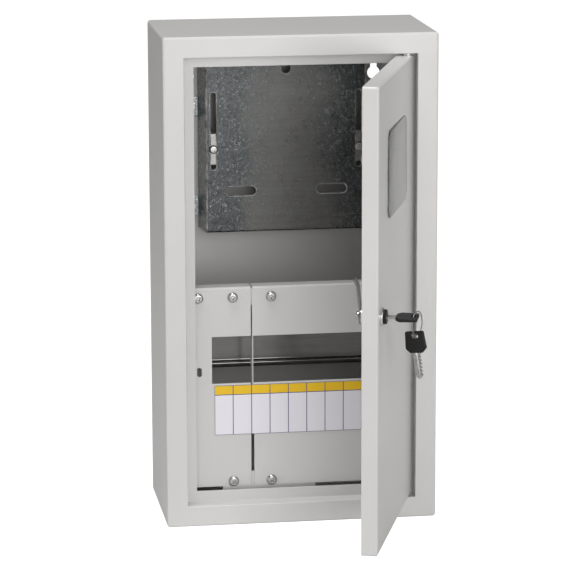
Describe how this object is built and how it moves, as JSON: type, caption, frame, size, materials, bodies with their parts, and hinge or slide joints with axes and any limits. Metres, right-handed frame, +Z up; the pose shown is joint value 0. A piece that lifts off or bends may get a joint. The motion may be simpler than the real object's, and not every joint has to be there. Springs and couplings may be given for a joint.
{
  "type": "electrical enclosure",
  "caption": "Wall-mounted sheet-steel electrical enclosure with hinged window door, cam lock and keys, meter plate, rail for modules and screwed covers.",
  "frame": {"origin": "centre of the back face, on the wall plane", "axes": "+X to the right seen from the front, +Y into the wall, +Z up"},
  "size_m": [0.26, 0.3331, 0.47],
  "materials": {
    "grey_paint": "light grey powder coat, semi-gloss",
    "galvanised": "galvanised sheet with spangle",
    "zinc": "zinc-plated fasteners",
    "chrome": "polished plating on die-cast zinc",
    "black_plastic": "black moulded plastic",
    "key_steel": "nickel-plated steel",
    "clear_pane": "clear sheet",
    "label_paper": "printed sticker with blank fields"
  },
  "bodies": {
    "cabinet": {"cabinet_shell": "grey_paint", "back_wall": "grey_paint", "meter_plate": "galvanised", "plate_studs": "zinc", "plate_nuts": "zinc", "upper_cover_bar": "grey_paint", "lower_cover_bracket": "grey_paint", "left_cover": "grey_paint", "right_cover": "grey_paint", "cover_screws": "zinc", "cover_nuts": "zinc", "module_label": "label_paper", "din_rail": "galvanised", "rail_brackets": "galvanised", "rail_screws": "zinc", "earth_stud": "zinc", "earth_washers": "zinc", "earth_nut": "zinc", "hinge_pins": "zinc", "hinge_washers": "zinc"},
    "left_fixing": {"left_slider": "zinc", "left_slider_screw": "zinc"},
    "right_fixing": {"right_slider": "zinc", "right_slider_screw": "zinc"},
    "door": {"door_panel": "grey_paint", "window_pane": "clear_pane", "pane_studs": "zinc", "pane_clips": "galvanised", "door_earth_stud": "zinc", "door_earth_washer": "zinc", "door_earth_nut": "zinc", "lock_housing": "chrome", "lock_nut": "zinc"},
    "lock": {"lock_plug": "chrome", "plug_cap": "black_plastic", "lock_cam": "zinc", "cam_washer": "zinc", "cam_screw": "zinc", "key_blade": "key_steel", "key_bow": "black_plastic"},
    "ring": {"key_ring": "key_steel"},
    "spare_key": {"spare_key_blade": "key_steel", "spare_key_bow": "black_plastic"}
  },
  "joints": [
    {"name": "door_swing", "type": "hinge", "parent": "cabinet", "child": "door", "pos_m": [0.101, -0.13, 0], "axis": [0, 0, 1], "range_deg": [-71.2, 43.8]},
    {"name": "lock_turn", "type": "hinge", "parent": "door", "child": "lock", "pos_m": [0.04354, -0.31432, 0.005], "axis": [0.9466, -0.3223, 0], "range_deg": [0, 90]},
    {"name": "ring_turn", "type": "hinge", "parent": "lock", "child": "ring", "pos_m": [0.07108, -0.32369, 0.005], "axis": [0, 0, 1], "range_deg": [-30, 30]},
    {"name": "spare_swing", "type": "hinge", "parent": "ring", "child": "spare_key", "pos_m": [0.0756, -0.31743, -0.0119], "axis": [0.585, 0.8111, 0], "range_deg": [-30, 30]},
    {"name": "left_slide", "type": "slide", "parent": "cabinet", "child": "left_fixing", "axis": [0, 0, 1], "range_m": [-0.0075, 0.0425]},
    {"name": "right_slide", "type": "slide", "parent": "cabinet", "child": "right_fixing", "axis": [0, 0, 1], "range_m": [-0.0075, 0.0425]}
  ]
}
